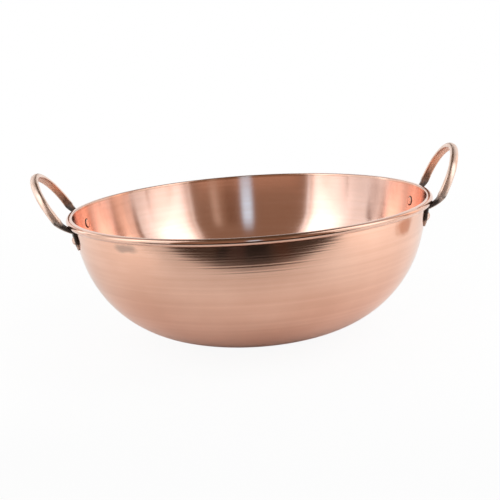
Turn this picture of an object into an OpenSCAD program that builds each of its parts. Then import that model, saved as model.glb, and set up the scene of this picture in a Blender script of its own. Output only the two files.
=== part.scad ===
// Copper jam pan: a spun, round-bottomed bowl with a wired rim and two riveted loop handles.
// Millimetres. The origin is the centre of the flat base's underside, +Z is up,
// one handle stands at +X and the other at -X.

/* [Bowl] */
// Diameter over the rolled rim
rim_d = 360; // [330:5:400]
// Height from the base to the top of the rim
pan_h = 131; // [120:1:142]
// Thickness of the copper sheet
sheet = 1.2; // [1:0.1:2]
// Diameter of the flat circle that the pan stands on
base_d = 72; // [40:2:110]
// Diameter where the dished bottom turns up into the side
dish_d = 190; // [160:5:220]
// Outer radius of the dished bottom's curve
dish_r = 175; // [150:5:240]
// Outer radius of the side's curve above the turn
side_r = 275; // [220:5:400]
// Length of the side's curve, from the turn up to the rim's wire
side_l = 42; // [34:1:50]
// Slope of the side where it meets the rim, from level
side_slope = 83; // [80:0.5:87]

/* [Rim] */
// Diameter of the steel wire that the rim is rolled around
wire_d = 4; // [3:0.1:6]
// Gap between the rolled edge and the side
curl_gap = 0.3; // [0.2:0.05:0.6]

/* [Handles] */
// Lean of the left handle, outwards from upright
left_lean = 33; // [22:1:42]
// Lean of the right handle, outwards from upright
right_lean = 27; // [22:1:42]
// Distance of a handle's centre line outside the rim, at the rim wire's height
stand_off = 0.3; // [0:0.1:2]
// Height of a loop's crown above the rim wire, along its lean
loop_h = 50; // [46:1:62]
// Radius of a loop's crown
crown_r = 58; // [50:1:64]
// Half of the angle that the crown spans
crown_half = 40; // [34:1:46]
// Radius of a loop's shoulders
shoulder_r = 34; // [28:1:36]
// Angle that the shoulders turn in past square to the crown
leg_in = 6; // [2:1:10]
// Width of the bar's flat inner face, across the loop's plane
bar_w = 8; // [7:0.2:10]
// Depth of the bar from its flat inner face to its round back
bar_t = 6; // [5:0.2:8]
// Radius of the bar's back corners
bar_back = 3; // [2:0.1:3.4]
// Radius of the edges of the bar's inner face
bar_edge = 1; // [0.5:0.1:1.5]

/* [Lugs] */
// Height above the rim wire at which a leg starts to thin, along its lean
thin_from = 5; // [4:0.5:7]
// Angle that a thinned leg turns in
thin_in = 18; // [12:1:24]
// Width of the neck where it meets the lug
neck_w = 8; // [7:0.2:10]
// Thickness of the neck where it meets the lug
neck_t = 3.6; // [3:0.1:4.4]
// Angle at which the lugs splay apart towards the rim
lug_splay = 15; // [8:1:20]
// Width of a lug at its rivet
lug_w = 14; // [12:0.5:18]
// Thickness of a lug at its rivet
lug_t = 2.4; // [2:0.1:3]
// Thickness of a lug at its tip
tip_t = 1.2; // [0.8:0.1:1.8]
// Radius of a lug's rounded tip
tip_r = 2.2; // [1.5:0.1:3]
// Length of a lug below its rivet
lug_below = 11; // [9:0.5:14]
// Gap between the underside of the rim and the top of a lug
lug_gap = 1.2; // [0.8:0.1:2]

/* [Rivets] */
// Height of the rivets below the rim wire
rivet_drop = 14.8; // [13:0.2:18]
// Diameter of a rivet's shank
rivet_d = 5; // [4:0.2:6]
// Diameter of a rivet's outer head
head_d = 8.4; // [7.6:0.2:10]
// Height of a rivet's outer head
head_h = 2.2; // [1.6:0.1:2.8]
// Diameter of a rivet's inner head
inner_d = 10; // [8.4:0.2:12]
// Height of a rivet's inner head
inner_h = 1.3; // [1:0.1:2]
// Height of the upright edge round an inner head
inner_edge = 0.5; // [0.3:0.1:0.8]

/* [Hidden] */
$fn = 96;
// Facets of the large turned shapes
round_fn = 360;
copper = "#dc9a7e";
forged = "#c98a6c";
steel = "#8f9499";

// Degrees between two points on a curve of the bowl, and on the small curl of its rim
arc_step = 2;
curl_step = 12;
// Depth to which a blank reaches into what it is then cut to fit
bite = 1;
// Degrees between two rings of a bent bar, and the steps of its foot
bar_step = 5;
foot_n = 6;
// A leg runs straight for at least this length below its shoulder before it thins
leg_min = 0.5;

// Points of the bowl's half section are [radius, height], and a slope is an angle from level
function on_arc(c, r, a) = [c[0] + r * sin(a), c[1] - r * cos(a)];
function arc(c, r, a, b, first) = let (n = ceil(abs(b - a) / arc_step))
    [for (i = [first:n]) on_arc(c, r, a + (b - a) * i / n)];
function slope_of(v) = atan2(v[1], v[0]);

wire_r = wire_d / 2;
bead_r = wire_r + sheet;
rim_c = [rim_d / 2 - bead_r, pan_h - bead_r];
base_r = base_d / 2;
dish_c = [base_r, dish_r];
dish_a = asin((dish_d / 2 - base_r) / dish_r);
dish_end = on_arc(dish_c, dish_r, dish_a);
side_c = on_arc(rim_c, -(side_r + wire_r), side_slope);
side_a = side_slope - side_l / side_r * 180 / PI;
side_end = on_arc(side_c, side_r, side_a);
// The turn joins dish and side without a corner, by two arcs whose tangents are all turn_t long
turn_v = side_end - dish_end;
dish_t = [cos(dish_a), sin(dish_a)];
side_t = [cos(side_a), sin(side_a)];
turn_q = 1 - dish_t * side_t;
turn_b = turn_v * (dish_t + side_t) / 2;
turn_t = (sqrt(turn_b * turn_b + turn_q * (turn_v * turn_v) / 2) - turn_b) / turn_q;
turn_a = slope_of(turn_v - turn_t * (dish_t + side_t));
low_r = turn_t / tan((turn_a - dish_a) / 2);
low_c = on_arc(dish_end, -low_r, dish_a);
high_r = turn_t / tan((side_a - turn_a) / 2);
high_c = on_arc(side_end, -high_r, side_a);

// The sheet leaves the side at curl_a, and rolls round the wire until it nearly touches the side again
curl_a = 90 + side_slope;
curl_turn = 360 - acos((wire_r - curl_gap) / bead_r);
curl_n = ceil(curl_turn / curl_step);
curl_da = curl_turn / curl_n;
function round_rim(r, a) = rim_c + r * [cos(a), sin(a)];

outer_wall = concat(
    [[0, 0]],
    arc(dish_c, dish_r, 0, dish_a, 0),
    arc(low_c, low_r, dish_a, turn_a, 1),
    arc(high_c, high_r, turn_a, side_a, 1),
    arc(side_c, side_r, side_a, side_slope, 1)
);
inner_wall = concat(
    arc(side_c, side_r - sheet, side_slope, side_a, 0),
    arc(high_c, high_r - sheet, side_a, turn_a, 1),
    arc(low_c, low_r - sheet, turn_a, dish_a, 1),
    arc(dish_c, dish_r - sheet, dish_a, 0, 1),
    [[0, sheet]]
);
curl_inside = concat(
    [for (i = [0:curl_n - 1]) round_rim(wire_r / cos(curl_da / 2), curl_a - (i + 0.5) * curl_da)],
    [round_rim(wire_r, curl_a - curl_turn)]
);
curl_outside = [for (i = [curl_n:-1:1]) round_rim(bead_r, curl_a - i * curl_da)];

// Rivets stand square to the side, where the lugs' lines bring them
rivet_z = rim_c[1] - rivet_drop;
rivet_slope = acos((side_c[1] - rivet_z) / side_r);
rivet_r = side_c[0] + side_r * sin(rivet_slope);

// Points of a loop are [along the rim, up the lean], seen from outside
crown_c = [0, loop_h - crown_r];
shoulder_c = crown_c + (crown_r - shoulder_r) * [sin(crown_half), cos(crown_half)];
leg_top = shoulder_c + shoulder_r * [cos(leg_in), -sin(leg_in)];
leg_l = max(leg_min, (leg_top[1] - thin_from) / cos(leg_in));
leg_end = leg_top - leg_l * [sin(leg_in), cos(leg_in)];
neck = [leg_end[0] - (leg_end[1] + bead_r) * tan(thin_in), -bead_r];
rivet_y = neck[0] - (rivet_drop - bead_r) * tan(lug_splay);
rivet_az = asin(rivet_y / rivet_r);
lug_above = (rivet_drop - bead_r - lug_gap) / sin(rivet_slope);
// A shank ends halfway into the dome of each head
shank_in = sheet + (inner_edge + inner_h) / 2;

// Section of the bar: x out from the loop's middle, y across its plane, flat towards the middle
function corner(c, r, from, n) = [for (i = [0:n]) c + r * [cos(from + 90 * i / n), sin(from + 90 * i / n)]];
function bar_section(across, depth, back, edge) =
    let (b = [depth / 2 - back, across / 2 - back], e = [edge - depth / 2, across / 2 - edge])
    concat(
        corner([e[0], -e[1]], edge, 180, 2),
        corner([b[0], -b[1]], back, 270, 4),
        corner(b, back, 0, 4),
        corner(e, edge, 90, 2)
    );
function ring(c, u, v, section) = [for (p = section) c + p[0] * u + p[1] * v];

// The loop's plane in the pan's frame, for a handle at +X: p is a point of the loop
function in_loop(lean, p) =
    [rim_d / 2 + stand_off + p[1] * sin(lean), p[0], rim_c[1] + p[1] * cos(lean)];
function loop_ring(lean, c, r, a) = ring(
    in_loop(lean, c + r * [sin(a), cos(a)]),
    [cos(a) * sin(lean), sin(a), cos(a) * cos(lean)],
    [cos(lean), 0, -sin(lean)],
    bar_section(bar_w, bar_t, bar_back, bar_edge)
);

// A point of the lug at +X and +Y: x down its length, y across it, z out of the pan
function in_lug(p) =
    let (
        x = p[0] * cos(lug_splay) + p[1] * sin(lug_splay),
        y = p[1] * cos(lug_splay) - p[0] * sin(lug_splay),
        r = rivet_r - x * cos(rivet_slope) + p[2] * sin(rivet_slope)
    )
    [
        r * cos(rivet_az) - y * sin(rivet_az),
        r * sin(rivet_az) + y * cos(rivet_az),
        rivet_z - x * sin(rivet_slope) - p[2] * cos(rivet_slope)
    ];

// The foot runs from the leg's end, under the rim, into the top of the lug
function unit(v) = v / norm(v);
function foot_ring(lean, t) =
    let (
        a = in_loop(lean, leg_end),
        b = in_loop(lean, neck),
        c = in_lug([neck_t / 2 - lug_above, 0, -bite / 2]),
        from_u = [-sin(leg_in) * sin(lean), cos(leg_in), -sin(leg_in) * cos(lean)],
        to_u = in_lug([0, 1, 0]) - in_lug([0, 0, 0]),
        along = unit((1 - t) * (b - a) + t * (c - b)),
        v = unit(cross(along, (1 - t) * from_u + t * to_u)),
        across = bar_w + (neck_t - bar_w) * t * (2 - t)
    )
    ring(
        (1 - t) * (1 - t) * a + 2 * t * (1 - t) * b + t * t * c,
        cross(v, along),
        v,
        bar_section(
            across,
            bar_t + (neck_w - bar_t) * t,
            min(bar_back, 0.45 * across),
            min(bar_edge, 0.4 * across)
        )
    );

crown_n = ceil(crown_half / bar_step);
shoulder_a = 90 + leg_in - crown_half;
shoulder_n = ceil(shoulder_a / bar_step);
// Rings of half a handle's bar, from the middle of its crown down to its lug
function half_bar(lean) = concat(
    [for (i = [0:crown_n]) loop_ring(lean, crown_c, crown_r, crown_half * i / crown_n)],
    [
        for (i = [1:shoulder_n])
            loop_ring(lean, shoulder_c, shoulder_r, crown_half + shoulder_a * i / shoulder_n)
    ],
    [for (i = [0:foot_n]) foot_ring(lean, i / foot_n)]
);

// The bowl with no holes in it
module bowl_shell() {
    rotate_extrude($fn = round_fn)
        polygon(concat(outer_wall, curl_inside, curl_outside, inner_wall));
}

// The whole space inside the bowl's outer surface, that the handles are cut to fit
module bowl_blank() {
    rotate_extrude($fn = round_fn)
        polygon(concat(outer_wall, [[0, outer_wall[len(outer_wall) - 1][1]]]));
    rotate_extrude($fn = round_fn)
        translate(rim_c)
            circle(r = bead_r, $fn = 48);
}

// Puts children on a rivet's axis: +Z out of the pan, +X down its side, side and end each 1 or -1
module at_rivet(side, end) {
    mirror([side < 0 ? 1 : 0, 0, 0])
        mirror([0, end < 0 ? 1 : 0, 0])
            rotate([0, 0, rivet_az])
                translate([rivet_r, 0, rivet_z])
                    rotate([0, 180 - rivet_slope, 0])
                        children();
}

module rivet_shank() {
    translate([0, 0, -sheet - bite])
        cylinder(h = sheet + lug_t + 2 * bite, d = rivet_d);
}

module bowl() {
    color(copper)
        difference() {
            bowl_shell();
            for (side = [1, -1], end = [1, -1])
                at_rivet(side, end)
                    rivet_shank();
        }
}

module rim_wire() {
    color(steel)
        rotate_extrude($fn = round_fn)
            translate(rim_c)
                circle(r = wire_r, $fn = 48);
}

// The bar is one sweep from lug to lug, its second half the mirror image of its first
module bar(lean) {
    half = half_bar(lean);
    last = len(half) - 1;
    rings = concat(
        [for (i = [last:-1:1]) [for (p = half[i]) [p[0], -p[1], p[2]]]],
        half
    );
    n = len(half[0]);
    polyhedron(
        points = [for (r = rings, p = r) p],
        faces = concat(
            [[for (k = [0:n - 1]) k]],
            [
                for (i = [0:len(rings) - 2], k = [0:n - 1])
                    [i * n + k, (i + 1) * n + k, (i + 1) * n + (k + 1) % n, i * n + (k + 1) % n]
            ],
            [[for (k = [n - 1:-1:0]) (len(rings) - 1) * n + k]]
        )
    );
}

// Outline of a lug, tapered by straight edges from the rivet to the tip and to the top
function fan(x, r, a, b) = let (n = ceil((b - a) / curl_step))
    [for (i = [0:n]) [x, 0] + r * [cos(a + (b - a) * i / n), sin(a + (b - a) * i / n)]];
module lug_outline() {
    to_tip = acos((lug_w / 2 - tip_r) / (lug_below - tip_r));
    to_top = acos((lug_w - neck_w) / 2 / lug_above);
    polygon(concat(
        fan(lug_below - tip_r, tip_r, -to_tip, to_tip),
        fan(0, lug_w / 2, to_tip, 180 - to_top),
        fan(-lug_above, neck_w / 2, 180 - to_top, 180 + to_top),
        fan(0, lug_w / 2, 180 + to_top, 360 - to_tip)
    ));
}

// A lug before it is cut to the bowl: it thins from below its rivet's head to its tip
module lug_blank() {
    rotate([0, 0, -lug_splay])
        intersection() {
            translate([0, 0, -bite])
                linear_extrude(height = lug_t + bite)
                    lug_outline();
            translate([0, lug_w, 0])
                rotate([90, 0, 0])
                    linear_extrude(height = 2 * lug_w)
                        polygon([
                            [-lug_above, -bite],
                            [-lug_above, lug_t],
                            [head_d / 2, lug_t],
                            [lug_below, tip_t],
                            [lug_below, -bite]
                        ]);
        }
}

// One forged bar at +X: a loop, and at each end a neck under the rim and a lug on the side
module handle(lean) {
    difference() {
        union() {
            bar(lean);
            for (end = [1, -1])
                at_rivet(1, end)
                    lug_blank();
        }
        bowl_blank();
        for (end = [1, -1])
            at_rivet(1, end)
                rivet_shank();
    }
}

module right_handle() {
    color(forged)
        handle(right_lean);
}

module left_handle() {
    color(forged)
        mirror([1, 0, 0])
            handle(left_lean);
}

// A shallow dome on the plane z = 0, of a given width and height, on a plinth below that plane
module dome(d, h, plinth = 0) {
    r = (d * d / 4 + h * h) / (2 * h);
    rotate_extrude()
        intersection() {
            translate([0, h - r])
                circle(r = r);
            square([d / 2, h]);
        }
    if (plinth > 0)
        translate([0, 0, -plinth])
            cylinder(h = plinth, d = d);
}

// A rivet hammered up on both sides, its inner head bedded on the bowl's curve
module rivet(side, end) {
    color(copper) {
        at_rivet(side, end) {
            translate([0, 0, -shank_in])
                cylinder(h = shank_in + lug_t + head_h / 2, d = rivet_d);
            translate([0, 0, lug_t])
                dome(head_d, head_h);
        }
        difference() {
            at_rivet(side, end)
                mirror([0, 0, 1])
                    translate([0, 0, sheet + inner_edge])
                        dome(inner_d, inner_h - inner_edge, sheet / 2 + inner_edge);
            bowl_shell();
        }
    }
}

module left_front_rivet() {
    rivet(-1, -1);
}

module left_back_rivet() {
    rivet(-1, 1);
}

module right_front_rivet() {
    rivet(1, -1);
}

module right_back_rivet() {
    rivet(1, 1);
}

bowl();
rim_wire();
left_handle();
right_handle();
left_front_rivet();
left_back_rivet();
right_front_rivet();
right_back_rivet();
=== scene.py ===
"""Copper jam pan: the looks of its bowl, handles and rivets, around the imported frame.

Lengths are metres in the pan's own frame: the origin is the middle of the base, +Z is up,
and the handles stand at +X and -X.
"""

import logging
import math
from dataclasses import dataclass, field
from enum import Enum

import bpy
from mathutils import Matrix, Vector


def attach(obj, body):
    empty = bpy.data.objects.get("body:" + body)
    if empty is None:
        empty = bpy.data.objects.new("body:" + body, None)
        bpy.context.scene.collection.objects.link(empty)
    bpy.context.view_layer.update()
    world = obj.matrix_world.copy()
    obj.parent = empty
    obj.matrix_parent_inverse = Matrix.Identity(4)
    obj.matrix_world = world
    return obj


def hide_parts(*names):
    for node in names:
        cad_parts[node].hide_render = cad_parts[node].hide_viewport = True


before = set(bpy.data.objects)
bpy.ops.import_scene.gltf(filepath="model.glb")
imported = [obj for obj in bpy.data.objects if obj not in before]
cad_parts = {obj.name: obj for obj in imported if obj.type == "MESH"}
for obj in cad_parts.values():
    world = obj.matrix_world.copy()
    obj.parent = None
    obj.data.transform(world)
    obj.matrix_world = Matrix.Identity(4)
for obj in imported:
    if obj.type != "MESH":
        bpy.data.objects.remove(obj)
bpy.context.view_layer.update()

LOG = logging.getLogger("jam_pan")
MM = 0.001


class Slot(Enum):
    """Material slots of the record."""

    SPUN = "spun_copper"
    FORGED = "forged_copper"
    RIVET = "rivet_copper"
    STEEL = "steel_wire"


def deselect() -> None:
    """Clears the selection, since operators act on all that is selected."""
    if bpy.context.object and bpy.context.object.mode != "OBJECT":
        bpy.ops.object.mode_set(mode="OBJECT")
    bpy.ops.object.select_all(action="DESELECT")


def take(name: str) -> bpy.types.Object:
    """Names the object that an operator has just added, and its mesh.

    Args:
        name: The piece's name.

    Returns:
        The active object.
    """
    piece = bpy.context.object
    piece.name = name
    piece.data.name = name
    return piece


def only(piece: bpy.types.Object) -> None:
    """Makes one object the active and only selected one.

    Args:
        piece: The object to select.
    """
    deselect()
    piece.select_set(True)
    bpy.context.view_layer.objects.active = piece


def apply_modifier(piece: bpy.types.Object, kind: str, **values: object) -> None:
    """Adds a modifier, sets its values and applies it.

    Args:
        piece: The object that gets it.
        kind: Blender's name of the modifier's type.
        **values: Its settings.
    """
    only(piece)
    modifier = piece.modifiers.new(kind.lower(), kind)
    for key, value in values.items():
        setattr(modifier, key, value)
    bpy.ops.object.modifier_apply(modifier=modifier.name)


class Graph:
    """A short way to write a material's nodes."""

    def __init__(self, name: str) -> None:
        """Starts an empty material.

        Args:
            name: The material's name.
        """
        self.material = bpy.data.materials.new(name)
        self.material.use_nodes = True
        self.tree = self.material.node_tree
        self.tree.nodes.clear()

    def add(self, kind: str, inputs: dict | None = None, **values: object) -> bpy.types.Node:
        """Adds a node.

        Args:
            kind: The node's type, without its ShaderNode prefix.
            inputs: What goes into each input: a value or another node's output.
            **values: The node's settings.

        Returns:
            The node.
        """
        node = self.tree.nodes.new("ShaderNode" + kind)
        for key, value in values.items():
            setattr(node, key, value)
        for key, value in (inputs or {}).items():
            if isinstance(value, bpy.types.NodeSocket):
                self.tree.links.new(value, node.inputs[key])
            else:
                node.inputs[key].default_value = value
        return node

    def maths(self, operation: str, *values: object) -> bpy.types.NodeSocket:
        """Adds a Math node.

        Args:
            operation: Blender's name of the operation.
            *values: Its inputs.

        Returns:
            The result's socket.
        """
        return self.add("Math", dict(enumerate(values)), operation=operation).outputs[0]

    def ramp(self, factor: bpy.types.NodeSocket, stops: list) -> bpy.types.NodeSocket:
        """Adds a colour ramp.

        Args:
            factor: What it reads.
            stops: Pairs of a position and a colour, or a position and a grey.

        Returns:
            The colour's socket.
        """
        node = self.add("ValToRGB", {"Fac": factor})
        elements = node.color_ramp.elements
        while len(elements) < len(stops):
            elements.new(0.5)
        for element, (place, colour) in zip(elements, stops):
            element.position = place
            grey = isinstance(colour, (int, float))
            element.color = (colour, colour, colour, 1) if grey else (*colour, 1)
        return node.outputs["Color"]

    def noise(self, vector: bpy.types.NodeSocket, scale: float, detail: float = 3.0) -> bpy.types.NodeSocket:
        """Adds a noise pattern.

        Args:
            vector: Where it is read.
            scale: Its frequency.
            detail: Its finer octaves.

        Returns:
            The pattern's socket.
        """
        node = self.add("TexNoise", {"Vector": vector, "Scale": scale, "Detail": detail})
        return node.outputs["Fac"]

    def mix(self, factor: object, first: object, second: object) -> bpy.types.NodeSocket:
        """Blends two colours.

        Args:
            factor: How much of the second one shows.
            first: A colour or a socket.
            second: A colour or a socket.

        Returns:
            The blend's socket.
        """
        node = self.add("Mix", data_type="RGBA")
        for index, value in ((0, factor), (6, first), (7, second)):
            if isinstance(value, bpy.types.NodeSocket):
                self.tree.links.new(value, node.inputs[index])
            elif index:
                node.inputs[index].default_value = (*value, 1)
            else:
                node.inputs[index].default_value = value
        return node.outputs[2]

    def finish(self, **inputs: object) -> bpy.types.Material:
        """Adds the surface shader and the output.

        Args:
            **inputs: The shader's inputs, with _ for a space in a name.

        Returns:
            The material.
        """
        named = {key.replace("_", " "): value for key, value in inputs.items()}
        shader = self.add("BsdfPrincipled", named)
        self.add("OutputMaterial", {"Surface": shader.outputs[0]})
        return self.material


@dataclass(frozen=True)
class PaintedReflection:
    """A ragged patch, wider than it is high: a painted reflection laid over the copper's colour."""

    middle: tuple
    reach: float
    tone: tuple
    squash: float = 1.8

    def over(self, g: Graph, place: bpy.types.NodeSocket, colour: bpy.types.NodeSocket) -> bpy.types.NodeSocket:
        """Lays the painted reflection over a colour.

        Args:
            g: The material's graph.
            place: The Object coordinates.
            colour: The copper's own colour.

        Returns:
            The colour with the painted reflection over it.
        """
        apart = g.add("VectorMath", {0: place, 1: self.middle}, operation="SUBTRACT").outputs[0]
        flat = g.add("VectorMath", {0: apart, 1: (1.0, 1.0, self.squash)}, operation="MULTIPLY").outputs[0]
        away = g.add("VectorMath", {0: flat}, operation="LENGTH").outputs["Value"]
        ragged = g.maths("MULTIPLY", g.noise(place, 70.0, 3.0), self.reach)
        near = g.add("MapRange", {"Value": g.maths("ADD", away, ragged),
                                  "From Min": 1.5 * self.reach, "From Max": 0.8 * self.reach},
                     interpolation_type="SMOOTHSTEP").outputs[0]
        return g.mix(near, colour, self.tone)


@dataclass(frozen=True)
class SpunCopper:
    """Polished copper that keeps the fine rings of the spinning tool."""

    name: str = "spun_copper"
    light: tuple = (0.92, 0.58, 0.44)
    deep: tuple = (0.82, 0.48, 0.35)
    roughness: float = 0.13
    ring_depth: float = 0.05 * MM
    ring_pitch: float = 1.6 * MM
    painted_reflections: tuple = ()

    def build(self) -> bpy.types.Material:
        """Makes the material.

        Returns:
            The material.
        """
        g = Graph(self.name)
        place = g.add("TexCoord").outputs["Object"]
        parts = g.add("SeparateXYZ", {0: place}).outputs
        radius = g.maths("SQRT", g.maths("ADD", g.maths("MULTIPLY", parts[0], parts[0]),
                                         g.maths("MULTIPLY", parts[1], parts[1])))
        run = g.maths("ADD", parts[2], g.maths("MULTIPLY", radius, 0.8))
        along = g.add("CombineXYZ", {0: g.maths("MULTIPLY", parts[0], 0.006),
                                     1: g.maths("MULTIPLY", parts[1], 0.006), 2: run}).outputs[0]
        rings = g.noise(along, 1 / self.ring_pitch, 1.0)
        fine = g.noise(along, 3 / self.ring_pitch, 1.0)
        cloud = g.noise(place, 14.0, 4.0)
        streak = g.noise(along, 160.0, 3.0)
        tone = g.maths("ADD", g.maths("MULTIPLY", cloud, 0.6), g.maths("MULTIPLY", streak, 0.4))
        colour = g.mix(g.ramp(tone, [(0.38, 0.0), (0.62, 1.0)]), self.light, self.deep)
        # Painted reflections, laid over the copper's own colour.
        for reflection_patch in self.painted_reflections:
            colour = reflection_patch.over(g, place, colour)
        rough = g.maths("ADD", self.roughness,
                        g.maths("MULTIPLY", g.maths("SUBTRACT", fine, 0.5), 0.10))
        height = g.maths("ADD", rings, g.maths("MULTIPLY", fine, 0.2))
        bump = g.add("Bump", {"Strength": 0.3, "Distance": self.ring_depth, "Height": height})
        return g.finish(Base_Color=colour, Metallic=1.0, Roughness=rough, Normal=bump.outputs[0],
                        Anisotropic=0.75, Anisotropic_Rotation=0.25)


@dataclass(frozen=True)
class ForgedCopper:
    """Satin copper bar, blackened by heat at its feet, with a painted brown reflection on its flat inner faces
    that darkens towards the feet, and a painted sheen that keeps copper on the feet's undersides.
    """

    bright: tuple = (0.92, 0.72, 0.62)
    dull: tuple = (0.78, 0.56, 0.45)
    # brown and dark: the painted reflection on the inner faces, turning dark towards the feet.
    brown: tuple = (0.74, 0.38, 0.25)
    dark: tuple = (0.36, 0.19, 0.13)
    black: tuple = (0.045, 0.034, 0.028)
    dark_below: float = 153 * MM
    dark_blend: float = 14 * MM
    black_below: float = 138 * MM
    black_blend: float = 9 * MM
    loop_height: float = 150 * MM
    roughness: float = 0.34

    def build(self, name: str = "forged_copper") -> bpy.types.Material:
        """Makes the material.

        Args:
            name: Its name.

        Returns:
            The material.
        """
        g = Graph(name)
        place = g.add("TexCoord").outputs["Object"]
        parts = g.add("SeparateXYZ", {0: place}).outputs
        normal = g.add("SeparateXYZ", {0: g.add("NewGeometry").outputs["Normal"]}).outputs
        cloud = g.noise(place, 60.0, 2.0)
        patch = g.noise(place, 150.0, 3.0)
        rise = g.maths("SUBTRACT", self.loop_height, parts[2])
        reach = g.maths("SQRT", g.maths("ADD", g.maths("MULTIPLY", parts[1], parts[1]),
                                        g.maths("MULTIPLY", rise, rise)))
        # Faces turned to the loop's middle take a painted brown reflection.
        facing = g.maths("DIVIDE", g.maths("SUBTRACT", g.maths("MULTIPLY", rise, normal[2]),
                                           g.maths("MULTIPLY", parts[1], normal[1])), reach)
        inner = g.add("MapRange", {"Value": facing, "From Min": 0.55, "From Max": 0.85}).outputs[0]
        satin = g.mix(g.ramp(cloud, [(0.35, 0.0), (0.65, 1.0)]), self.bright, self.dull)
        height = g.maths("ADD", parts[2], g.maths("MULTIPLY", g.maths("SUBTRACT", patch, 0.5), 16 * MM))
        # The painted reflection turns dark towards the feet.
        lower = g.maths("DIVIDE", g.maths("SUBTRACT", self.dark_below, height), self.dark_blend)
        inner_reflection = g.mix(g.add("Clamp", {0: lower}).outputs[0], self.brown, self.dark)
        copper = g.mix(inner, satin, inner_reflection)
        low = g.maths("SUBTRACT", self.black_below, height)
        burnt = g.add("Clamp", {0: g.maths("DIVIDE", low, self.black_blend)}).outputs[0]
        # Down-facing faces keep part of their copper under the black: a painted sheen on the undersides.
        black_share_by_facing = g.add("MapRange", {"Value": normal[2], "From Min": -0.8, "From Max": -0.3,
                                   "To Min": 0.3, "To Max": 1.0}).outputs[0]
        burnt = g.maths("MULTIPLY", burnt, black_share_by_facing)
        colour = g.mix(burnt, copper, self.black)
        rough = g.maths("ADD", self.roughness, g.maths("MULTIPLY", burnt, 0.12))
        bump = g.add("Bump", {"Strength": 0.1, "Distance": 0.05 * MM, "Height": cloud})
        metal = g.maths("SUBTRACT", 1.0, g.maths("MULTIPLY", burnt, 0.5))
        return g.finish(Base_Color=colour, Metallic=metal, Roughness=rough, Normal=bump.outputs[0])


@dataclass(frozen=True)
class HammeredCopper:
    """Bright copper with small hammer facets and dark hollows."""

    bright: tuple = (0.86, 0.64, 0.54)
    dark: tuple = (0.50, 0.32, 0.24)
    roughness: float = 0.28

    def build(self, name: str = "rivet_copper") -> bpy.types.Material:
        """Makes the material.

        Args:
            name: Its name.

        Returns:
            The material.
        """
        g = Graph(name)
        place = g.add("TexCoord").outputs["Object"]
        facets = g.add("TexVoronoi", {"Vector": place, "Scale": 420.0}).outputs["Distance"]
        cloud = g.noise(place, 300.0, 4.0)
        colour = g.mix(g.ramp(cloud, [(0.45, 0.0), (0.75, 1.0)]), self.bright, self.dark)
        bump = g.add("Bump", {"Strength": 0.4, "Distance": 0.2 * MM, "Height": facets})
        return g.finish(Base_Color=colour, Metallic=1.0, Roughness=self.roughness, Normal=bump.outputs[0])


@dataclass(frozen=True)
class DrawnSteel:
    """Grey steel wire with fine marks from the drawing die."""

    tone: tuple = (0.45, 0.46, 0.48)

    def build(self, name: str = "steel_wire") -> bpy.types.Material:
        """Makes the material.

        Args:
            name: Its name.

        Returns:
            The material.
        """
        g = Graph(name)
        place = g.add("TexCoord").outputs["Object"]
        marks = g.noise(place, 900.0, 3.0)
        colour = g.mix(marks, self.tone, tuple(c * 0.6 for c in self.tone))
        return g.finish(Base_Color=colour, Metallic=1.0, Roughness=0.4)


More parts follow.
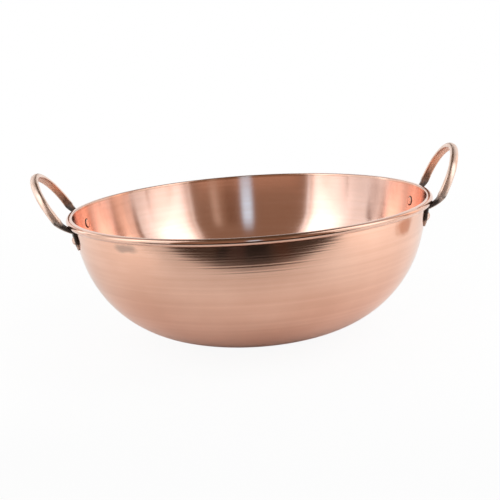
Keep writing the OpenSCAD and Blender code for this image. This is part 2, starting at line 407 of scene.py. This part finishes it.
@dataclass
class Bowl:
    """The spun bowl: base, dish, turn and side, and the rim rolled round its wire."""

    rim_d: float = 360 * MM
    height: float = 131 * MM
    sheet: float = 1.2 * MM
    base_d: float = 72 * MM
    dish_d: float = 190 * MM
    dish_r: float = 175 * MM
    side_r: float = 275 * MM
    side_l: float = 42 * MM
    side_slope: float = math.radians(83)
    wire_d: float = 4 * MM
    curl_gap: float = 0.3 * MM
    planished: float = 1.0 * MM
    turns: int = 180
    arc_step: float = math.radians(2)
    curl_step: float = math.radians(12)
    ring_waves: tuple = ((2.7, 1.0, 0.0), (4.3, 0.5, 1.1), (1.9, 0.6, 2.3))
    ring_depth: float = 0.008 * MM
    ring_step: float = 0.42 * MM
    ring_run: tuple = (2 * MM, 8 * MM, 34 * MM, 78 * MM)
    # The outer face carries two painted reflections: an orange-brown patch high on the right front and a wide
    # greyish one high on the left front.
    outside: SpunCopper = SpunCopper(painted_reflections=(
        PaintedReflection((0.138, -0.1045, 0.117), 21 * MM, (0.55, 0.22, 0.12)),
        PaintedReflection((-0.1142, -0.1308, 0.1195), 17 * MM, (0.49, 0.32, 0.25), 3.2)))
    inside: SpunCopper = SpunCopper("polished_copper", (0.96, 0.66, 0.56), (0.92, 0.60, 0.49), 0.14, 0.012 * MM)
    bead: SpunCopper = SpunCopper("rim_copper", (0.84, 0.55, 0.44), (0.74, 0.46, 0.35), 0.12, 0.0)

    @property
    def bead_r(self) -> float:
        """Outer radius of the rolled rim's section."""
        return self.wire_d / 2 + self.sheet

    @property
    def rim_middle(self) -> Vector:
        """Radius and height of the wire's middle."""
        return Vector((self.rim_d / 2 - self.bead_r, self.height - self.bead_r))

    def curves(self) -> list[tuple[Vector, float, float, float]]:
        """Works out the four arcs of the wall's outer face, from the flat base up to the rim.

        Returns:
            Each arc's centre, as radius and height, its radius, and the slopes of its two ends.
        """
        def ahead(slope: float) -> Vector:
            """The direction of a slope."""
            return Vector((math.cos(slope), math.sin(slope)))

        dish_c = Vector((self.base_d / 2, self.dish_r))
        dish_a = math.asin((self.dish_d - self.base_d) / 2 / self.dish_r)
        dish_end = self.on_arc(dish_c, self.dish_r, dish_a)
        side_c = self.on_arc(self.rim_middle, -(self.side_r + self.wire_d / 2), self.side_slope)
        side_a = self.side_slope - self.side_l / self.side_r
        side_end = self.on_arc(side_c, self.side_r, side_a)
        span = side_end - dish_end
        both = ahead(dish_a) + ahead(side_a)
        bend = 1 - ahead(dish_a).dot(ahead(side_a))
        half = span.dot(both) / 2
        tangent = (math.sqrt(half * half + bend * span.dot(span) / 2) - half) / bend
        middle = span - tangent * both
        turn_a = math.atan2(middle.y, middle.x)
        low_r = tangent / math.tan((turn_a - dish_a) / 2)
        high_r = tangent / math.tan((side_a - turn_a) / 2)
        return [(dish_c, self.dish_r, 0.0, dish_a),
                (self.on_arc(dish_end, -low_r, dish_a), low_r, dish_a, turn_a),
                (self.on_arc(side_end, -high_r, side_a), high_r, turn_a, side_a),
                (side_c, self.side_r, side_a, self.side_slope)]

    @staticmethod
    def on_arc(middle: Vector, radius: float, slope: float) -> Vector:
        """Finds the point of an arc that has a given slope.

        Args:
            middle: The arc's centre, as radius and height.
            radius: Its radius.
            slope: The slope from level, as an angle.

        Returns:
            The point, as radius and height.
        """
        return middle + radius * Vector((math.sin(slope), -math.cos(slope)))

    def wall(self, off: float, spacing: float = 0.0) -> list[Vector]:
        """Lists the wall's points on one face, from the base's middle up to the rim.

        Args:
            off: How far the face lies inside the outer one.
            spacing: The largest distance between two points, or 0 for arc_step alone.

        Returns:
            The points in order.
        """
        points = [Vector((0, off)), Vector((self.base_d / 4, off)), Vector((self.base_d / 2, off))]
        for middle, radius, start, end in self.curves():
            count = max(2, math.ceil((end - start) / self.arc_step))
            if spacing and start > 0:
                count = max(count, math.ceil(radius * (end - start) / spacing))
            points += [self.on_arc(middle, radius - off, start + (end - start) * i / count)
                       for i in range(1, count + 1)]
        return points

    def ringed(self, points: list[Vector]) -> list[Vector]:
        """Raises the spinning tool's rings on the outer face.

        Args:
            points: The outer face's points, from the base's middle up to the rim.

        Returns:
            The same points, moved in or out by a few hundredths of a millimetre.
        """
        start, full, fade, none = self.ring_run
        run = 0.0
        made = [points[-1]]
        for index in range(len(points) - 2, 0, -1):
            here, above, below = points[index], points[index + 1], points[index - 1]
            run += (above - here).length
            share = min(max((run - start) / (full - start), 0), 1)
            share *= 0.12 + 0.88 * min(max((none - run) / (none - fade), 0), 1)
            wave = sum(size * math.sin(math.tau * run / (pitch * MM) + shift)
                       for pitch, size, shift in self.ring_waves)
            ahead = (above - below).normalized()
            made.append(here + self.ring_depth * share * wave * Vector((ahead.y, -ahead.x)))
        return [points[0]] + [p if p.x > self.base_d / 2 + MM else q
                              for p, q in zip(made[::-1], points[1:])]

    def section(self) -> list[Vector]:
        """Works out the half section of the sheet, from the base's middle outside to its middle inside.

        Returns:
            The points in order.
        """
        start = math.pi / 2 + self.side_slope
        sweep = math.tau - math.acos((self.wire_d / 2 - self.curl_gap) / self.bead_r)
        count = math.ceil(sweep / self.curl_step)
        angles = [start - sweep * i / count for i in range(1, count + 1)]

        turn = (start - math.pi / 2) / 2
        bisector = Vector((math.cos(start - turn), math.sin(start - turn)))
        corner = self.rim_middle + (self.bead_r - self.planished) / math.cos(turn) * bisector

        def around(middle: Vector, radius: float, angle: float) -> Vector:
            """The point at an angle of a circle."""
            return middle + radius * Vector((math.cos(angle), math.sin(angle)))

        wrapped = [around(self.rim_middle, self.wire_d / 2, a) for a in angles]
        outer = [around(corner, self.planished, a) if a > math.pi / 2
                 else around(self.rim_middle, self.bead_r, a) for a in [start] + angles]
        return (self.ringed(self.wall(0, self.ring_step)) + wrapped + outer[::-1]
                + self.wall(self.sheet)[::-1])

    def build(self) -> bpy.types.Object:
        """Draws the section by extruding one point, and spins it round the pan's axis.

        Returns:
            The bowl.
        """
        points = self.section()
        deselect()
        bpy.ops.mesh.primitive_plane_add(size=self.sheet)
        piece = take("spun_bowl")
        bpy.ops.object.mode_set(mode="EDIT")
        bpy.ops.mesh.merge(type="CENTER")
        for here, there in zip(points, points[1:]):
            step = there - here
            bpy.ops.mesh.extrude_region_move(TRANSFORM_OT_translate={"value": (step.x, 0, step.y)})
        bpy.ops.mesh.select_all(action="SELECT")
        bpy.ops.mesh.spin(steps=self.turns, angle=math.tau, center=(0, 0, 0), axis=(0, 0, 1))
        bpy.ops.mesh.select_all(action="SELECT")
        bpy.ops.mesh.remove_doubles(threshold=0.002 * MM)
        bpy.ops.mesh.normals_make_consistent(inside=False)
        bpy.ops.object.mode_set(mode="OBJECT")
        only(piece)
        bpy.ops.object.shade_smooth_by_angle(angle=math.radians(40))
        self.dress(piece)
        return piece

    def dress(self, piece: bpy.types.Object) -> None:
        """Gives the outer face, the inner face and the rolled rim their finishes.

        Args:
            piece: The bowl.
        """
        for finish in (self.outside, self.inside, self.bead):
            piece.data.materials.append(finish.build())
        rolled = self.bead_r + 0.2 * MM
        inner_top = self.rim_middle.y + 0.45 * MM
        for face in piece.data.polygons:
            radius = face.center.xy.length
            out = face.normal.xy.dot(face.center.xy) / max(radius, MM)
            if (face.center.z > inner_top
                    or (Vector((radius, face.center.z)) - self.rim_middle).length < rolled):
                face.material_index = 2
            elif face.normal.z > out:
                face.material_index = 1


@dataclass
class SoftenedCopy:
    """A piece forged by hand: the frame's shape with its edges worn round and its faces uneven."""

    node: str
    name: str
    voxel: float
    rounds: int
    cut: tuple = ()
    worn_above: float = 0.0
    worn_rounds: int = 0

    def build(self) -> bpy.types.Object:
        """Copies the node's mesh, merges it, cuts it flat where asked, softens it and wears its top.

        Returns:
            The piece.
        """
        deselect()
        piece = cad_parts[self.node].copy()
        piece.data = piece.data.copy()
        piece.parent = None
        piece.name = self.name
        piece.data.name = self.name
        bpy.context.scene.collection.objects.link(piece)
        piece.data.materials.clear()
        only(piece)
        bpy.ops.object.mode_set(mode="EDIT")
        bpy.ops.mesh.select_all(action="SELECT")
        bpy.ops.mesh.remove_doubles(threshold=0.002 * MM)
        if self.cut:
            middle, facing = self.cut
            bpy.ops.mesh.bisect(plane_co=middle, plane_no=facing, use_fill=True, clear_outer=True)
        bpy.ops.object.mode_set(mode="OBJECT")
        apply_modifier(piece, "REMESH", mode="VOXEL", voxel_size=self.voxel, adaptivity=0.0)
        apply_modifier(piece, "SMOOTH", factor=0.5, iterations=self.rounds)
        if self.worn_rounds:
            bpy.ops.object.mode_set(mode="EDIT")
            bpy.ops.mesh.select_all(action="DESELECT")
            bpy.ops.object.mode_set(mode="OBJECT")
            for vertex in piece.data.vertices:
                vertex.select = vertex.co.z > self.worn_above
            bpy.ops.object.mode_set(mode="EDIT")
            bpy.ops.mesh.vertices_smooth(factor=0.5, repeat=self.worn_rounds)
            bpy.ops.object.mode_set(mode="OBJECT")
        only(piece)
        bpy.ops.object.shade_smooth()
        return piece


@dataclass
class Handles:
    """The two forged bars, with their lugs."""

    voxel: float = 0.4 * MM
    bar_above: float = 136 * MM
    finish: ForgedCopper = field(default_factory=ForgedCopper)

    def build(self) -> list[tuple[bpy.types.Object, str]]:
        """Makes both handles.

        Returns:
            Each piece with the node that it stands for.
        """
        material = self.finish.build()
        made = []
        for side in ("left", "right"):
            node = f"{side}_handle"
            piece = SoftenedCopy(node, f"{side}_forged_handle", self.voxel, 8,
                                 worn_above=self.bar_above, worn_rounds=26).build()
            piece.data.materials.append(material)
            made.append((piece, node))
        return made


@dataclass
class Rivets:
    """The rivets that hold the lugs: hammered domes outside, heads dressed flat inside."""

    bowl: Bowl
    voxel: float = 0.2 * MM
    head: float = 0.85 * MM
    finish: HammeredCopper = field(default_factory=HammeredCopper)
    # A painted dark shade for the faces round the edges of the inner heads.
    edge_shade: HammeredCopper = HammeredCopper((0.20, 0.12, 0.09), (0.06, 0.04, 0.03), 0.4)

    def flat(self, node: str) -> tuple[Vector, Vector]:
        """Finds the plane that the inner head is dressed down to, square to the wall.

        Args:
            node: The rivet's node.

        Returns:
            A point of the plane and its direction into the bowl.
        """
        spots = [v.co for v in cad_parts[node].data.vertices]
        middle = (Vector(map(min, zip(*spots))) + Vector(map(max, zip(*spots)))) / 2
        side, radius, _, _ = self.bowl.curves()[-1]
        slope = math.acos((side.y - middle.z) / radius)
        outward = middle.xy.normalized()
        wall = side.x + (radius - self.bowl.sheet) * math.sin(slope)
        inward = Vector((-outward.x * math.sin(slope), -outward.y * math.sin(slope), math.cos(slope)))
        return Vector((outward.x * wall, outward.y * wall, middle.z)) + self.head * inward, inward

    def build(self) -> list[tuple[bpy.types.Object, str]]:
        """Makes the rivets.

        Returns:
            Each piece with the node that it stands for.
        """
        materials = (self.finish.build(), self.bowl.inside.build(), self.edge_shade.build("rivet_edge_shade"))
        made = []
        for side in ("left", "right"):
            for end in ("front", "back"):
                node = f"{side}_{end}_rivet"
                middle, inward = self.flat(node)
                piece = SoftenedCopy(node, f"{side}_{end}_hammered_rivet", self.voxel, 3,
                                     (middle, inward)).build()
                for material in materials:
                    piece.data.materials.append(material)
                # Flat faces of the inner head take the inside copper; the faces round its edge take the painted
                # dark shade.
                for face in piece.data.polygons:
                    if (face.center - middle).dot(inward) > -self.head:
                        face.material_index = 1 if face.normal.dot(inward) > 0.97 else 2
                made.append((piece, node))
        return made


@dataclass
class Camera:
    """The photograph's view."""

    place: tuple = (-0.01928, -1.18708, 0.33624)
    tilt: tuple = (77.9079, 3.7645, -1.6374)
    lens: float = 87.75

    def build(self) -> None:
        """Adds the camera."""
        deselect()
        turn = tuple(math.radians(a) for a in self.tilt)
        bpy.ops.object.camera_add(location=self.place, rotation=turn)
        camera = bpy.context.object
        camera.data.lens = self.lens
        camera.data.sensor_width = 36
        bpy.context.scene.camera = camera


@dataclass(frozen=True)
class Card:
    """A card beside the pan that only reflections show, with edges that fade out."""

    name: str
    middle: tuple
    size: tuple
    turn: tuple
    tone: tuple
    soft: tuple = (0.0, 0.0)

    def build(self) -> bpy.types.Object:
        """Sets the card up as part of the stage.

        Returns:
            The card.
        """
        deselect()
        turn = tuple(math.radians(a) for a in self.turn)
        bpy.ops.mesh.primitive_plane_add(size=1, location=self.middle, rotation=turn)
        card = take(self.name)
        card.scale = (*self.size, 1)
        g = Graph(self.name)
        place = g.add("SeparateXYZ", {0: g.add("TexCoord").outputs["Object"]}).outputs
        shares = [g.add("MapRange", {"Value": g.maths("ABSOLUTE", place[axis]), "From Min": 0.5,
                                     "From Max": 0.5 - max(reach, 0.001), "To Min": 0.0, "To Max": 1.0},
                        interpolation_type="SMOOTHSTEP").outputs[0]
                  for axis, reach in enumerate(self.soft)]
        clear = g.add("BsdfTransparent")
        light = g.add("Emission", {"Color": (*self.tone, 1), "Strength": 1.0})
        mix = g.add("MixShader", {0: g.maths("MULTIPLY", *shares), 1: clear.outputs[0], 2: light.outputs[0]})
        g.add("OutputMaterial", {"Surface": mix.outputs[0]})
        card.data.materials.append(g.material)
        card.visible_camera = False
        card.visible_diffuse = False
        card.visible_shadow = False
        return card


@dataclass(frozen=True)
class SoftBox:
    """A lit cloth panel that stands beside the pan, brightest round one upright line."""

    name: str
    front: tuple
    back: tuple
    height: float
    peak: float
    level: float
    lamp_level: float
    rise: tuple = (-0.1, 0.35)
    reach: float = 0.32
    edge: float = 0.12

    def build(self) -> None:
        """Hangs the cloth, which mirrors show, and the lamp that lights the floor."""
        deselect()
        front, back = Vector(self.front), Vector(self.back)
        along = back - front
        middle = (front + back) / 2
        turn = math.atan2(along.y, along.x)
        bpy.ops.mesh.primitive_plane_add(size=1, location=(*middle, self.height / 2),
                                         rotation=(math.pi / 2, 0, turn))
        cloth = take(self.name + "_cloth")
        cloth.scale = (along.length, self.height, 1)
        g = Graph(cloth.name)
        place = g.add("SeparateXYZ", {0: g.add("TexCoord").outputs["Object"]}).outputs
        away = g.maths("ABSOLUTE", g.maths("SUBTRACT", place[0], self.peak - 0.5))
        across = g.add("MapRange", {"Value": away, "From Min": self.reach / along.length, "From Max": 0.0},
                       interpolation_type="SMOOTHSTEP").outputs[0]
        start, full = (z / self.height - 0.5 for z in self.rise)
        upward = g.add("MapRange", {"Value": place[1], "From Min": start, "From Max": full},
                       interpolation_type="SMOOTHSTEP").outputs[0]
        glow = g.maths("MULTIPLY", g.maths("MULTIPLY", across, upward), self.level - 1)
        light = g.add("Emission", {"Color": (1, 1, 1, 1), "Strength": g.maths("ADD", glow, 1.0)})
        solid = g.add("MapRange", {"Value": place[0], "From Min": -0.5,
                                   "From Max": self.edge / along.length - 0.5},
                      interpolation_type="SMOOTHSTEP").outputs[0]
        clear = g.add("BsdfTransparent")
        mix = g.add("MixShader", {0: solid, 1: clear.outputs[0], 2: light.outputs[0]})
        g.add("OutputMaterial", {"Surface": mix.outputs[0]})
        cloth.data.materials.append(g.material)
        cloth.visible_camera = False
        cloth.visible_diffuse = False
        cloth.visible_shadow = False
        deselect()
        ahead = Vector((along.y, -along.x)).normalized()
        if ahead.dot(middle) > 0:
            ahead = -ahead
        bearing = math.atan2(-ahead.x, ahead.y)
        bpy.ops.object.light_add(type="AREA", rotation=(math.pi / 2, 0, bearing),
                                 location=(*middle, self.height / 2))
        lamp = bpy.context.object
        lamp.name = self.name
        lamp.data.shape = "RECTANGLE"
        lamp.data.size = along.length
        lamp.data.size_y = self.height
        lamp.data.energy = self.lamp_level * math.pi * along.length * self.height
        lamp.visible_camera = False
        lamp.visible_glossy = False


@dataclass
class Studio:
    """A plain pale floor and surround, soft lamps, and the dark room beyond the table's front edge."""

    floor_d: float = 14.0
    floor_tone: float = 0.93
    fade: tuple = (0.25, 0.9)
    nearest: float = 0.93
    mirrored: tuple = (0.26, 0.95)
    surround: float = 0.55
    lamps: tuple = (SoftBox("lamp_left", (-0.28, -0.25), (-1.0, 0.286), 1.2, 0.13, 2.4, 1.2, (0.05, 0.4), 0.36),
                    SoftBox("lamp_right", (0.31, -0.32), (0.85, 0.10), 1.2, 0.35, 2.1, 2.1, (0.1, 0.35)))
    cards: tuple = (
        Card("room_floor", (-0.3, -1.70, 0.002), (8.0, 2.82), (0, 0, 0), (0.045, 0.034, 0.027),
             (0.0, 0.006)),
        Card("room_floor_middle", (-0.035, -1.71, 0.004), (0.19, 2.8), (0, 0, 0), (0.016, 0.013, 0.012),
             (0.15, 0.0)),
        Card("room_floor_gleam", (-0.055, -1.71, 0.006), (0.08, 2.8), (0, 0, 0), (0.045, 0.033, 0.030),
             (0.3, 0.0)),
        Card("room_floor_brown", (0.09, -1.71, 0.006), (0.06, 2.8), (0, 0, 0), (0.06, 0.032, 0.022),
             (0.3, 0.0)),
        Card("side_right", (1.0, 0.26, 0.5), (0.52, 1.0), (90, 0, 90), (0.98, 0.74, 0.62), (0.2, 0.1)),
        Card("frame_right", (0.70, 0.083, 0.70), (0.08, 1.1), (90, 0, 90), (0.25, 0.16, 0.12), (0.4, 0.1)),
        Card("frame_left", (-0.72, 0.212, 0.273), (0.17, 0.06), (90, -32, 90), (0.14, 0.09, 0.07), (0.3, 0.4)),
        Card("glow_left", (-0.71, 0.35, 0.40), (0.20, 0.6), (90, 0, 90), (1.8, 1.85, 1.85), (0.4, 0.2)),
        Card("glow_right", (0.73, 0.255, 0.40), (0.20, 0.6), (90, 0, 90), (1.55, 1.15, 0.95), (0.4, 0.2)),
        Card("wing_left", (-0.4155, -0.332, 0.40), (0.30, 0.5), (90, 0, 41.9), (1.05, 1.2, 1.3), (0.15, 0.15)),
        Card("wing_right", (0.434, -0.402, 0.40), (0.283, 0.5), (90, 0, -44.9), (0.9, 0.87, 0.82), (0.15, 0.15)),
        Card("room_wall", (0.0, -3.0, 3.0), (7.0, 6.4), (90, 0, 0), (0.25, 0.16, 0.11)),
        Card("room_shelf", (0.0, -2.99, 0.3), (5.4, 1.0), (90, 0, 0), (0.42, 0.26, 0.18), (0.2, 0.4)),
        Card("room_dark", (0.68, -2.98, 1.2), (0.7, 1.9), (90, 0, 0), (0.19, 0.11, 0.07), (0.4, 0.3)),
        Card("room_post", (1.35, -2.98, 1.2), (0.7, 2.2), (90, 0, 0), (0.48, 0.38, 0.31), (0.5, 0.3)),
        Card("room_window", (0.03, -2.97, 1.15), (0.62, 3.4), (90, 0, 0), (0.70, 1.05, 1.40), (0.35, 0.5)),
        Card("ceiling", (0.0, 0.6, 1.75), (4.4, 3.6), (0, 0, 0), (0.62, 0.60, 0.59), (0.15, 0.1)),
        Card("ceiling_middle", (0.0, 0.6, 1.7), (1.9, 3.5), (0, 0, 0), (0.11, 0.075, 0.05), (0.2, 0.05)),
        Card("back_room", (0.0, 2.4, 1.2), (0.8, 1.1), (90, 0, 0), (0.11, 0.075, 0.05), (0.3, 0.05)))

    def floor(self) -> None:
        """Lays the floor, which keeps the pan's shadow near it and is plain white farther away."""
        deselect()
        bpy.ops.mesh.primitive_circle_add(vertices=96, radius=self.floor_d / 2, fill_type="NGON")
        floor = take("floor")
        g = Graph("floor")
        place = g.add("TexCoord").outputs["Object"]
        away = g.add("VectorMath", {0: place}, operation="LENGTH").outputs["Value"]
        near, far = self.fade
        white = g.add("MapRange", {"Value": away, "From Min": near, "From Max": far,
                                   "To Min": self.nearest, "To Max": 1.0}).outputs[0]
        path = g.add("LightPath").outputs
        seen = g.maths("MULTIPLY", path["Is Camera Ray"], white)
        near, far = self.mirrored
        clean = g.add("MapRange", {"Value": away, "From Min": near, "From Max": far}).outputs[0]
        share = g.maths("ADD", seen, g.maths("MULTIPLY", path["Is Glossy Ray"], clean))
        matt = g.add("BsdfDiffuse", {"Color": (*[self.floor_tone] * 3, 1)})
        plain = g.add("Emission", {"Color": (1, 1, 1, 1), "Strength": 1.0})
        mix = g.add("MixShader", {0: share, 1: matt.outputs[0], 2: plain.outputs[0]})
        g.add("OutputMaterial", {"Surface": mix.outputs[0]})
        floor.data.materials.append(g.material)

    def world(self) -> None:
        """Sets a white surround for the eye and for mirrors, and a softer one for the light."""
        world = bpy.data.worlds.new("surround")
        bpy.context.scene.world = world
        world.use_nodes = True
        tree = world.node_tree
        tree.nodes.clear()
        path = tree.nodes.new("ShaderNodeLightPath")
        seen = tree.nodes.new("ShaderNodeMath")
        seen.operation = "MAXIMUM"
        both = tree.nodes.new("ShaderNodeMath")
        both.operation = "MAXIMUM"
        level = tree.nodes.new("ShaderNodeMapRange")
        level.inputs["To Min"].default_value = self.surround
        light = tree.nodes.new("ShaderNodeBackground")
        light.inputs["Color"].default_value = (1, 1, 1, 1)
        out = tree.nodes.new("ShaderNodeOutputWorld")
        tree.links.new(path.outputs["Is Camera Ray"], seen.inputs[0])
        tree.links.new(path.outputs["Is Glossy Ray"], seen.inputs[1])
        tree.links.new(seen.outputs[0], both.inputs[0])
        tree.links.new(path.outputs["Is Transmission Ray"], both.inputs[1])
        tree.links.new(both.outputs[0], level.inputs["Value"])
        tree.links.new(level.outputs[0], light.inputs["Strength"])
        tree.links.new(light.outputs[0], out.inputs["Surface"])

    def build(self) -> None:
        """Sets up the whole studio."""
        self.floor()
        self.world()
        for lamp in self.lamps:
            lamp.build()
        for card in self.cards:
            card.build()
        bpy.context.scene.view_settings.view_transform = "Standard"


def place(piece: bpy.types.Object, slot: Slot, *nodes: str) -> None:
    """Hangs a piece on the frame.

    Args:
        piece: The piece.
        slot: The record's slot for its finish. Not used.
        *nodes: The nodes that it stands for.
    """
    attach(piece, "root")
    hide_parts(*nodes)
    LOG.info("%s stands for %s, %d faces", piece.name, ", ".join(nodes), len(piece.data.polygons))


def main() -> None:
    """Builds the camera, the studio and the pan in order."""
    logging.basicConfig(level=logging.INFO, format="%(name)s: %(message)s")
    Camera().build()
    Studio().build()
    bowl = Bowl()
    place(bowl.build(), Slot.SPUN, "bowl")
    for piece, node in Handles().build():
        place(piece, Slot.FORGED, node)
    for piece, node in Rivets(bowl).build():
        place(piece, Slot.RIVET, node)
    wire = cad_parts["rim_wire"]
    wire.data.materials.clear()
    wire.data.materials.append(DrawnSteel().build())


if __name__ == "__main__":
    main()
